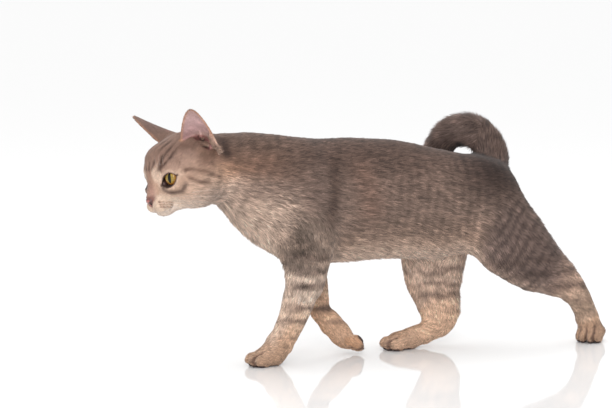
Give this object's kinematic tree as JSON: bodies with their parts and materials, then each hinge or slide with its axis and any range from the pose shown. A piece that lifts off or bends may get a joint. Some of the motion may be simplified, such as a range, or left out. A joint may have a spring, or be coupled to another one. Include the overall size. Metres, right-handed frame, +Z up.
{
  "type": "domestic cat",
  "caption": "Young shorthaired tabby cat, life size, standing in mid-stride with its tail curled over its back.",
  "frame": {"origin": "on the floor, under the middle of the whole cat's box", "axes": "+Z up, the cat faces -X, its left side faces -Y"},
  "size_m": [0.526, 0.1374, 0.2665],
  "materials": {
    "coat": "short ticked tabby coat, grey-brown",
    "coat_face": "very short tabby coat, cream about the mouth",
    "coat_legs": "short buff coat with dark bars",
    "coat_tail": "dark grey-brown coat with faint rings",
    "ear": "thin skin with very short hair",
    "nose_leather": "matte brick-pink skin",
    "eye": "wet, amber iris with a narrow pupil"
  },
  "bodies": {
    "root": {"head": "coat_face", "nose": "nose_leather", "eye_left": "eye", "eye_right": "eye", "ear_left": "ear", "ear_right": "ear", "neck": "coat", "trunk_chest": "coat", "trunk_waist": "coat", "trunk_hips": "coat", "leg_fore_left_upper": "coat", "leg_fore_left_lower": "coat_legs", "paw_fore_left": "coat_legs", "leg_fore_right_upper": "coat", "leg_fore_right_lower": "coat_legs", "paw_fore_right": "coat_legs", "leg_hind_left_upper": "coat", "leg_hind_left_lower": "coat_legs", "paw_hind_left": "coat_legs", "leg_hind_right_upper": "coat", "leg_hind_right_lower": "coat_legs", "paw_hind_right": "coat_legs", "tail_base": "coat_tail", "tail_middle": "coat_tail", "tail_end": "coat_tail"}
  },
  "joints": []
}
